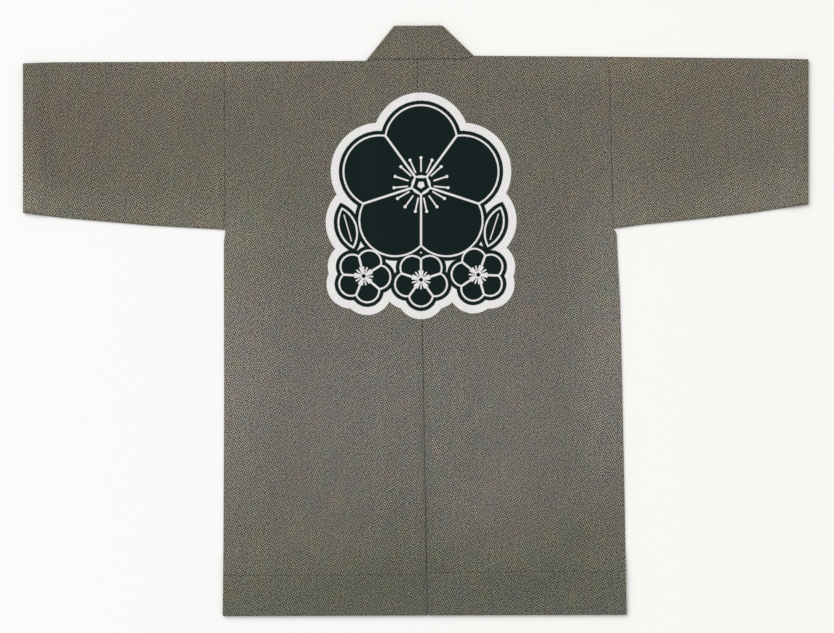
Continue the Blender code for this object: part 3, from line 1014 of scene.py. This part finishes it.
def new_group(name, inputs, outputs):
    """An empty node group, its bench, its input sockets and its output node."""
    group = bpy.data.node_groups.new(name, "ShaderNodeTree")
    for socket_name, kind in inputs.items():
        group.interface.new_socket(socket_name, in_out="INPUT", socket_type=SOCKETS[kind])
    for socket_name, kind in outputs.items():
        group.interface.new_socket(socket_name, in_out="OUTPUT", socket_type=SOCKETS[kind])
    bench = Bench(group)
    given = bench.add("NodeGroupInput").outputs
    result = bench.add("NodeGroupOutput").inputs
    return group, bench, given, result


# %% [markdown]
# The weave
#
# The cloth is a thick cotton in a small figured weave, with light and dark yarns, so that from
# afar it looks like salt and pepper. Its tiny floats line up in several slanted directions at
# once, three to four millimetres apart. A sine wave for each direction, added up, gives that
# crossing pattern, and a slow noise makes it bolder in some places than in others. A second noise,
# as fine as the floats, gives each of them a shade of its own, which breaks up the even lattice.
# The same pattern is the height of a bump.

# %% Weave group
Row = namedtuple("Row", "heading spacing strength")
ROWS = (
    Row(26, 3.10, 1.25),
    Row(120, 3.70, 0.7),
    Row(135, 2.94, 1.1),
    Row(44, 2.98, 0.95),
    Row(123, 3.42, 0.6),
    Row(30, 3.70, 0.45),
    Row(57, 3.42, 0.45),
)
FLOAT_SIZE = 0.0014
OWN_SHADE = 9.0
DARKEST = 0.05
PATCH_SIZE = 0.030
NOISE_RANGE = (0.3, 0.7)
BOLDNESS = (0.75, 1.25)
BLOTCHES = {"detail": 3.0, "roughness": 0.6}
RED_OFFSET = (3.1, 1.7, 0)

weave, bench, given, result = new_group(
    "Figured weave",
    {"Threads": "vector", "Contrast": "value"},
    {"Shade": "value", "Warm patches": "value", "Red patches": "value", "Height": "value"},
)
threads = given["Threads"]
grid = 0.0
for row in ROWS:
    along = (cos(radians(row.heading)), sin(radians(row.heading)), 0)
    phase = bench.times(bench.vector("DOT_PRODUCT", threads, along), tau / (row.spacing * METRES))
    grid = bench.plus(grid, bench.times(bench.math("SINE", phase), row.strength))
own_shade = bench.noise(threads, 1 / FLOAT_SIZE, 0.0, dimensions="2D")
own_shade = bench.times(bench.minus(own_shade, 0.5), OWN_SHADE)
bold = bench.between(bench.noise(threads, 1 / PATCH_SIZE), *NOISE_RANGE, *BOLDNESS)
flecks = bench.plus(bench.times(grid, bold), own_shade)
shade = bench.plus(bench.times(flecks, given["Contrast"]), 1.0)
bench.wire(bench.math("MAXIMUM", shade, DARKEST), result["Shade"])
for patches, offset in (("Warm patches", (0, 0, 0)), ("Red patches", RED_OFFSET)):
    blotch = bench.noise(bench.vector("ADD", threads, offset), 1 / PATCH_SIZE, **BLOTCHES)
    bench.wire(bench.between(blotch, *NOISE_RANGE), result[patches])
bench.wire(flecks, result["Height"])
print("weave group:", len(weave.nodes), "nodes")

# %% [markdown]
# Painted light and shade, and the tone of the coat
#
# The coat isn't one even colour, and the light and shade that fall on it are painted into its
# colour as well. Its middle is painted greyer and lighter, and its sides, cuffs and the ends of the
# shoulders lighter, as lit places. The sleeve ends and shoulders are browner. Near the hem, where the
# cloth is doubled, by the centre seam and below the neck, it is painted darker and more olive as its
# soft shade. Each such place is one soft spot in a table, and a group multiplies them all into one
# tint. The painted shade over the hem band has a crisp upper edge of its own.

# %% Tone group
Spot = namedtuple("Spot", "name x y reach_x reach_y turn tint")
# Spots named painted light or painted highlight lighten the colour, and those named painted shade darken
# it. The other spots only make the cloth browner or greener, or lighten the left end of the collar.
SPOTS = (
    Spot("faded middle", 0, -105, 430, 250, 0, (1.13, 1.14, 1.22)),
    Spot("worn left side", -314, -60, 92, 260, 0, (1.27, 1.265, 1.26)),
    Spot("worn right side", 332, 10, 75, 260, 0, (1.28, 1.275, 1.30)),
    Spot("worn edge under the left sleeve", -480, 164, 260, 48, -5, (1.17, 1.17, 1.18)),
    Spot("worn left cuff corner", -635, 172, 60, 60, 0, (1.22, 1.22, 1.24)),
    Spot("worn left cuff", -632, 245, 36, 60, 0, (1.09, 1.09, 1.09)),
    Spot("worn edge under the right sleeve", 560, 182, 220, 66, 7, (1.23, 1.23, 1.25)),
    Spot("worn right cuff", 632, 300, 40, 150, 0, (1.07, 1.07, 1.07)),
    Spot("light left hem corner", -290, -437, 80, 55, 0, (1.09, 1.07, 1.07)),
    Spot("faded left of the middle", -165, -100, 120, 130, 0, (1.04, 1.03, 1.07)),
    Spot("dark below the neck", 0, 402, 80, 26, 0, (0.95, 0.95, 0.96)),
    Spot("light left shoulder end", -325, 412, 130, 36, 0, (1.14, 1.13, 1.11)),
    Spot("light right shoulder end", 315, 415, 110, 36, 0, (1.15, 1.14, 1.11)),
    Spot("light left end of the collar", -35, 445, 30, 40, 0, (1.08, 1.08, 1.10)),
    Spot("low down", 10, -455, 620, 75, 0, (0.86, 0.92, 0.90)),
    Spot("low right", 238, -368, 125, 62, 28, (0.86, 0.90, 0.85)),
    Spot("low middle", -15, -362, 110, 84, 0, (0.88, 0.91, 0.88)),
    Spot("olive band over the left hem", -60, -392, 230, 20, 0, (0.95, 0.97, 0.91)),
    Spot("light patch beside the low right", 108, -290, 80, 46, 38, (1.05, 1.04, 1.05)),
    Spot("along the centre seam", 14, -230, 14, 240, 1, (0.88, 0.92, 0.92)),
    Spot("left sleeve end", -545, 330, 150, 105, 0, (1.01, 0.95, 0.93)),
    Spot("left underarm", -320, 205, 150, 90, 0, (0.99, 1.02, 0.98)),
    Spot("right sleeve top", 480, 385, 190, 60, 0, (1.03, 0.975, 0.94)),
    Spot("shoulders", -60, 400, 330, 70, 0, (1.02, 1.0, 0.975)),
)
SPOT_FADE = 1.5
HEM_PAINTED_SHADE = (0.92, 0.945, 0.92)
HEM_FADE = (-0.010, 0.002)
HEM_MIDDLE_Y = -440.0
WHITE = (1.0, 1.0, 1.0)
CLOUD_RANGE = (0.965, 1.035)
CLOUD_DETAIL = 3.0
WIDE_CLOUDS = 4.0
NARROW_CLOUDS = 18.0
WIDE_SHARE = 0.6
hem_tops = {half.name: (read(HEM, 0) + half.hem_depth) * METRES for half in (LEFT, RIGHT)}
HEM_SLANT = (HEM[1].y - HEM[0].y) / (HEM[1].x - HEM[0].x)

tone, bench, given, result = new_group(
    "Tone of the coat",
    {"Place": "vector"},
    {"Tint": "colour", "Clouds": "value"},
)
x, y, _ = bench.split(given["Place"])
on_right = bench.math("GREATER_THAN", x, read(CENTRE, HEM_MIDDLE_Y) * METRES)
top_of_hem = bench.between(on_right, 0.0, 1.0, hem_tops["left"], hem_tops["right"])
above = bench.minus(bench.minus(y, bench.times(x, HEM_SLANT)), top_of_hem)
# Painted shade over the turned-up hem band, with a crisp upper edge.
tint = bench.colour(bench.between(above, *HEM_FADE, 1.0, 0.0, smooth=True), WHITE, HEM_PAINTED_SHADE)
# Each spot multiplies its painted light, painted shade or hue into the tint.
for spot in SPOTS:
    middle = (spot.x * METRES, spot.y * METRES, 0)
    place = bench.turned(given["Place"], middle, -radians(spot.turn))
    shares = (1 / (spot.reach_x * METRES), 1 / (spot.reach_y * METRES), 0)
    away = bench.vector("LENGTH", bench.vector("MULTIPLY", place, shares))
    strength = bench.between(away, 0.0, SPOT_FADE, 1.0, 0.0, smooth=True)
    tint = bench.colour(1.0, tint, bench.colour(strength, WHITE, spot.tint), "MULTIPLY")
bench.wire(tint, result["Tint"])
wide = bench.noise(given["Place"], WIDE_CLOUDS, CLOUD_DETAIL)
narrow = bench.noise(given["Place"], NARROW_CLOUDS)
clouds = bench.plus(bench.times(wide, WIDE_SHARE), bench.times(narrow, 1 - WIDE_SHARE))
bench.wire(bench.between(clouds, *NOISE_RANGE, *CLOUD_RANGE), result["Clouds"])
print("tone group:", len(tone.nodes), "nodes,", len(SPOTS), "spots")

# %% [markdown]
# The print on the back
#
# A large plum blossom, three small ones and a pair of leaves are printed on the back as thin
# white lines in a solid black shape, with one broad white outline round the whole. Nothing is
# drawn from a picture: a petal is a circle, five of them come from folding the angle round the
# centre into one fifth of a turn, and a leaf is where two circles overlap. What each group gives
# is a distance to its edge. The line runs just outside that edge, the black shape is the cloth
# that lies within 9 mm of the nearest motif, and the outline is the next 13 mm.

# %% Blossom and leaf groups
PETALS = 5
STAMENS = 15
SLIT = 0.0017
EDGE = 0.0004
CORE = 0.2
RING = 0.8
STAMEN_START = 1.5
STAMEN_END = 0.62
STAMEN_EDGES = (0.0009, 0.0015)
DOT = 0.035
VEIN_END = 0.36


def stroke(bench, distance, half_width):
    """1 within half a width of a line, and 0 beyond, with a narrow soft edge."""
    return bench.between(distance, half_width - EDGE, half_width + EDGE, 1.0, 0.0)


def folded(bench, angle, parts):
    """The angle within its own part of the turn, from minus half a part to plus half."""
    share = bench.math("FRACT", bench.plus(bench.times(angle, parts / tau), 0.5))
    return bench.times(bench.minus(share, 0.5), tau / parts)


def distance_to(bench, angle, radius, reach):
    """Distance to a point at this reach on the middle line of a part, and distance to that line."""
    sideways = bench.times(radius, bench.math("SINE", angle))
    onward = bench.minus(bench.times(radius, bench.math("COSINE", angle)), reach)
    return bench.length(sideways, onward), bench.math("ABSOLUTE", sideways)


SHAPE = {"Place": "vector", "Centre": "vector", "Turn": "value", "Long": "value", "Wide": "value"}
FOUND = {"Distance": "value", "Slits": "value"}

blossom, bench, given, result = new_group("Blossom", SHAPE, FOUND)
x, y, _ = bench.split(bench.turned(given["Place"], given["Centre"], given["Turn"]))
radius = bench.length(x, y)
angle = bench.math("ARCTAN2", x, y)
in_petal = folded(bench, angle, PETALS)
to_petal, _ = distance_to(bench, in_petal, radius, given["Long"])
bench.wire(bench.minus(to_petal, given["Wide"]), result["Distance"])
from_border = bench.minus(pi / PETALS, bench.math("ABSOLUTE", in_petal))
from_border = bench.times(radius, bench.math("SINE", from_border))
core = bench.times(given["Long"], CORE)
between_petals = bench.times(stroke(bench, from_border, SLIT), bench.math("GREATER_THAN", radius, core))
ring = stroke(bench, bench.math("ABSOLUTE", bench.minus(radius, core)), RING * SLIT)
stamen_end = bench.times(given["Long"], STAMEN_END)
to_end, sideways = distance_to(bench, folded(bench, angle, STAMENS), radius, stamen_end)
stamen = bench.between(sideways, *STAMEN_EDGES, 1.0, 0.0)
stamen = bench.times(stamen, bench.math("LESS_THAN", radius, stamen_end))
stamen = bench.times(stamen, bench.math("GREATER_THAN", radius, bench.times(core, STAMEN_START)))
dot = bench.math("LESS_THAN", to_end, bench.times(given["Long"], DOT))
white = between_petals
for part in (ring, stamen, dot):
    white = bench.math("MAXIMUM", white, part)
bench.wire(white, result["Slits"])

leaf, bench, given, result = new_group("Leaf", SHAPE, FOUND)
x, y, _ = bench.split(bench.turned(given["Place"], given["Centre"], given["Turn"]))
aside, onward = bench.math("ABSOLUTE", x), bench.math("ABSOLUTE", y)
squares = [bench.math("POWER", given[side], 2.0) for side in ("Long", "Wide")]
bow = bench.math("DIVIDE", bench.plus(*squares), bench.times(given["Wide"], 4.0))
far_x = bench.plus(aside, bench.minus(bow, bench.times(given["Wide"], 0.5)))
bench.wire(bench.minus(bench.length(far_x, y), bow), result["Distance"])
in_vein = bench.math("LESS_THAN", onward, bench.times(given["Long"], VEIN_END))
bench.wire(bench.times(stroke(bench, aside, SLIT / 2), in_vein), result["Slits"])
print("blossom group:", len(blossom.nodes), "nodes, leaf group:", len(leaf.nodes))

# %% The whole print
PRINT_CENTRE = (0.0087, 0.1887)
LINE = 0.0028
GROUND = 0.009
OUTLINE = 0.013
FRAY = 0.0014
FRAY_SCALE = 450.0
Motif = namedtuple("Motif", "group x y turn long wide")
MOTIFS = (
    Motif(blossom, 0.0, 32.0, 0.0, 71.0, 57.0),
    Motif(blossom, -93.0, -116.0, 22.0, 24.0, 18.0),
    Motif(blossom, 0.0, -122.0, 36.0, 24.0, 18.0),
    Motif(blossom, 93.0, -114.0, -16.0, 24.0, 18.0),
    Motif(leaf, -119.0, -38.0, -16.0, 62.0, 25.0),
    Motif(leaf, 119.0, -36.0, 18.0, 62.0, 25.0),
)

print_group, bench, given, result = new_group(
    "Print of blossoms", {"Place": "vector"}, {"Printed": "value", "Black": "value"}
)
nearest, slits = 1.0, 0.0
for motif in MOTIFS:
    middle = (PRINT_CENTRE[0] + motif.x * METRES, PRINT_CENTRE[1] + motif.y * METRES, 0)
    sizes = (given["Place"], middle, radians(motif.turn), motif.long * METRES, motif.wide * METRES)
    node = bench.add("ShaderNodeGroup", node_tree=motif.group)
    for value, socket in zip(sizes, node.inputs):
        bench.wire(value, socket)
    inside = bench.math("LESS_THAN", node.outputs["Distance"], EDGE)
    slits = bench.math("MAXIMUM", slits, bench.times(node.outputs["Slits"], inside))
    nearest = bench.math("MINIMUM", nearest, node.outputs["Distance"])
frayed = bench.minus(bench.noise(given["Place"], FRAY_SCALE), 0.5)
nearest = bench.plus(nearest, bench.times(frayed, FRAY))
bench.wire(stroke(bench, nearest, GROUND + OUTLINE), result["Printed"])
line = stroke(bench, bench.math("ABSOLUTE", bench.minus(nearest, LINE / 2)), LINE / 2)
white = bench.math("MAXIMUM", slits, line)
bench.wire(bench.times(stroke(bench, nearest, GROUND), bench.minus(1.0, white)), result["Black"])
print("print:", len(MOTIFS), "motifs")

# %% [markdown]
# The cloth materials
#
# Dyed cotton scatters light and hardly shines, so roughness is high and the specular level is low,
# which also keeps black ink black. Each material starts from a plain colour and multiplies it by
# the tone with its painted light and shade, by small warmer and redder patches, and by the shade of
# the weave. The body's material lays the print on top: ink fills the weave, so it is smoother and
# shows fewer flecks.

# %% Cloth materials
BODY_COLOUR = (0.1325, 0.1204, 0.095)
SLEEVE_COLOUR = (0.1338, 0.1202, 0.092)
COLLAR_COLOUR = (0.132, 0.1172, 0.0905)
WARM_TINTS = ((0.955, 0.985, 1.09), (1.035, 1.01, 0.89))
RED_TINTS = ((0.945, 1.03, 0.985), (1.065, 0.965, 1.0))
YARN_TINTS = ((1.02, 0.98, 0.90), (0.98, 1.02, 1.09))
BLACK_INK = (0.0016, 0.0092, 0.0092)
WHITE_INK = (0.76, 0.75, 0.735)
WEAVE_CONTRAST = 0.58
BUMP_HEIGHT = 0.00008
SHADE_RANGE = (0.3, 1.7)
ROUGH = (0.95, 0.85)
SHINE = 0.12
INK_SHADE_RANGE = (0.2, 1.8)
INK_SHADES = (0.92, 1.08)
INK_FILLS = 0.45
INK_ROUGHNESS = 0.8


def cloth_material(name, colour, printed=False):
    material = bpy.data.materials.new(name)
    material.use_nodes = True
    shader = material.node_tree.nodes["Principled BSDF"]
    bench = Bench(material.node_tree)
    threads = bench.add("ShaderNodeUVMap", uv_map="Threads").outputs[0]
    place = bench.add("ShaderNodeTexCoord").outputs["Object"]
    woven = bench.add("ShaderNodeGroup", node_tree=weave)
    bench.wire(threads, woven.inputs["Threads"])
    woven.inputs["Contrast"].default_value = WEAVE_CONTRAST
    toned = bench.add("ShaderNodeGroup", node_tree=tone)
    bench.wire(place, toned.inputs["Place"])
    # The tone's tint brings in the painted light and shade of the spots and of the hem band.
    dyed_and_shaded = bench.colour(1.0, colour, toned.outputs["Tint"], "MULTIPLY")
    for patches, tints in (("Warm patches", WARM_TINTS), ("Red patches", RED_TINTS)):
        dyed_and_shaded = bench.colour(1.0, dyed_and_shaded, bench.colour(woven.outputs[patches], *tints), "MULTIPLY")
    light_yarn = bench.between(woven.outputs["Shade"], 0.0, 2.0)
    dyed_and_shaded = bench.colour(1.0, dyed_and_shaded, bench.colour(light_yarn, *YARN_TINTS), "MULTIPLY")
    shade = bench.times(woven.outputs["Shade"], toned.outputs["Clouds"])
    final = bench.scaled(dyed_and_shaded, shade)
    height = woven.outputs["Height"]
    roughness = bench.between(woven.outputs["Shade"], *SHADE_RANGE, *ROUGH)
    if printed:
        inked = bench.add("ShaderNodeGroup", node_tree=print_group)
        bench.wire(bench.add("ShaderNodeUVMap", uv_map="Back print").outputs[0], inked.inputs["Place"])
        ink = bench.colour(inked.outputs["Black"], WHITE_INK, BLACK_INK)
        ink_shade = bench.between(woven.outputs["Shade"], *INK_SHADE_RANGE, *INK_SHADES)
        ink = bench.scaled(ink, ink_shade)
        printed_here = inked.outputs["Printed"]
        final = bench.colour(printed_here, final, ink)
        height = bench.times(height, bench.between(printed_here, 0.0, 1.0, 1.0, INK_FILLS))
        roughness = bench.times(roughness, bench.between(printed_here, 0.0, 1.0, 1.0, INK_ROUGHNESS))
    bump = bench.add("ShaderNodeBump")
    bump.inputs["Distance"].default_value = BUMP_HEIGHT
    bench.wire(height, bump.inputs["Height"])
    bench.wire(final, shader.inputs["Base Color"])
    bench.wire(roughness, shader.inputs["Roughness"])
    bench.wire(bump.outputs[0], shader.inputs["Normal"])
    shader.inputs["Specular IOR Level"].default_value = SHINE
    return material


body_material = cloth_material("printed coat cloth", BODY_COLOUR, printed=True)
sleeve_material = cloth_material("plain coat cloth", SLEEVE_COLOUR)
collar_material = cloth_material("collar cloth", COLLAR_COLOUR)

# %% Thread material
THREAD_COLOUR = (0.035, 0.032, 0.027)
LIGHTER = 1.7
STRANDS = 900.0
THREAD_ROUGHNESS = 0.8
THREAD_SHINE = 0.2
thread_material = bpy.data.materials.new("dark thread")
thread_material.use_nodes = True
thread_shader = thread_material.node_tree.nodes["Principled BSDF"]
bench = Bench(thread_material.node_tree)
strands = bench.noise(bench.add("ShaderNodeTexCoord").outputs["Object"], STRANDS, 1.0)
light_thread = tuple(value * LIGHTER for value in THREAD_COLOUR)
bench.wire(bench.colour(strands, THREAD_COLOUR, light_thread), thread_shader.inputs["Base Color"])
thread_shader.inputs["Roughness"].default_value = THREAD_ROUGHNESS
thread_shader.inputs["Specular IOR Level"].default_value = THREAD_SHINE

# %% [markdown]
# Saying what each piece is
#
# Every cloth piece stands in for one solid of the frame, which is hidden, and gets a cloth material
# of its own. A list of sheets notes for each piece the frame solid, a slot name, the size that it was
# cut to, its area where given, its stitches and its material. The size covers what shows when the
# coat is opened out: a body length counts back, front and both turned-up hems, and a sleeve is
# measured all the way round.

BODY_CUT = (0.333, 1.940)
BODY_AREA = 0.552
SLEEVE_CUT = (0.550, 0.350)
COLLAR_CUT = (0.114, 2.000)

Sheet = namedtuple("Sheet", "piece node slot cut area stitches material")
sheets = []
for side in ("left", "right"):
    body, sleeve_cloth, stitches = body_cloths[side], sleeve_cloths[side], list(stitch_rows[side])
    for piece in stitches:
        piece.data.materials.append(thread_material)
        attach(piece, "root")
    sheets += [
        Sheet(body, f"body_{side}", "coat_cloth", BODY_CUT, BODY_AREA, stitches, body_material),
        Sheet(sleeve_cloth, f"sleeve_{side}", "coat_cloth", SLEEVE_CUT, None, [], sleeve_material),
    ]
sheets.append(Sheet(collar_cloth, "collar", "collar_cloth", COLLAR_CUT, None, [], collar_material))
for sheet in sheets:
    sheet.piece.data.materials.append(sheet.material)
    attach(sheet.piece, "root")
    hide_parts(sheet.node)
print("dressed:", ", ".join(sheet.piece.name for sheet in sheets))

# %% [markdown]
# Floor and light
#
# The coat lies on a white surface, painted a little darker and yellower toward the right as
# painted shade. A broad sun from the upper left gives short soft shadows along the right and lower
# edges, and an even white surround fills them, as one large soft box and white walls would in a
# studio.

# %% Floor
floor_mesh = bpy.data.meshes.new("floor")
FLOOR_REACH = 12.0
FLOOR_Z = -0.0003
# The floor is painted darker and yellower toward the right, away from the sun, as painted shade.
FLOOR_LEFT = (0.905, 0.905, 0.898)
FLOOR_RIGHT_PAINTED_SHADE = (0.875, 0.872, 0.845)
SHADES_REACH = 0.7
FLOOR_ROUGHNESS = 0.9
corners = [(x, y, FLOOR_Z) for x, y in ((-1, -1), (1, -1), (1, 1), (-1, 1))]
floor_mesh.from_pydata([(x * FLOOR_REACH, y * FLOOR_REACH, z) for x, y, z in corners], [], [(0, 1, 2, 3)])
floor = bpy.data.objects.new("floor", floor_mesh)
bpy.context.scene.collection.objects.link(floor)
floor_material = bpy.data.materials.new("white surface")
floor_material.use_nodes = True
floor_shader = floor_material.node_tree.nodes["Principled BSDF"]
bench = Bench(floor_material.node_tree)
floor_place = bench.add("ShaderNodeTexCoord").outputs["Object"]
floor_x = bench.split(floor_place)[0]
across_floor = bench.between(floor_x, -SHADES_REACH, SHADES_REACH)
bench.wire(bench.colour(across_floor, FLOOR_LEFT, FLOOR_RIGHT_PAINTED_SHADE), floor_shader.inputs["Base Color"])
floor_shader.inputs["Roughness"].default_value = FLOOR_ROUGHNESS
floor_shader.inputs["Specular IOR Level"].default_value = 0.0
floor_mesh.materials.append(floor_material)

# %% Light
SUN_ELEVATION = 42.0
SUN_HEADING = 135.0
SUN_STRENGTH = 2.18
SUN_SPREAD = 50.0
SURROUND = 0.6

sun_data = bpy.data.lights.new("soft sun", "SUN")
sun_data.energy = SUN_STRENGTH
sun_data.angle = radians(SUN_SPREAD)
sun = bpy.data.objects.new("soft sun", sun_data)
toward = Vector((cos(radians(SUN_HEADING)), sin(radians(SUN_HEADING)), 0)) * cos(radians(SUN_ELEVATION))
toward.z = sin(radians(SUN_ELEVATION))
sun.rotation_euler = toward.to_track_quat("Z", "Y").to_euler()
bpy.context.scene.collection.objects.link(sun)
world = bpy.data.worlds.new("white surround")
world.use_nodes = True
world.node_tree.nodes["Background"].inputs["Color"].default_value = (1, 1, 1, 1)
world.node_tree.nodes["Background"].inputs["Strength"].default_value = SURROUND
bpy.context.scene.world = world
bpy.context.scene.view_settings.view_transform = "Standard"
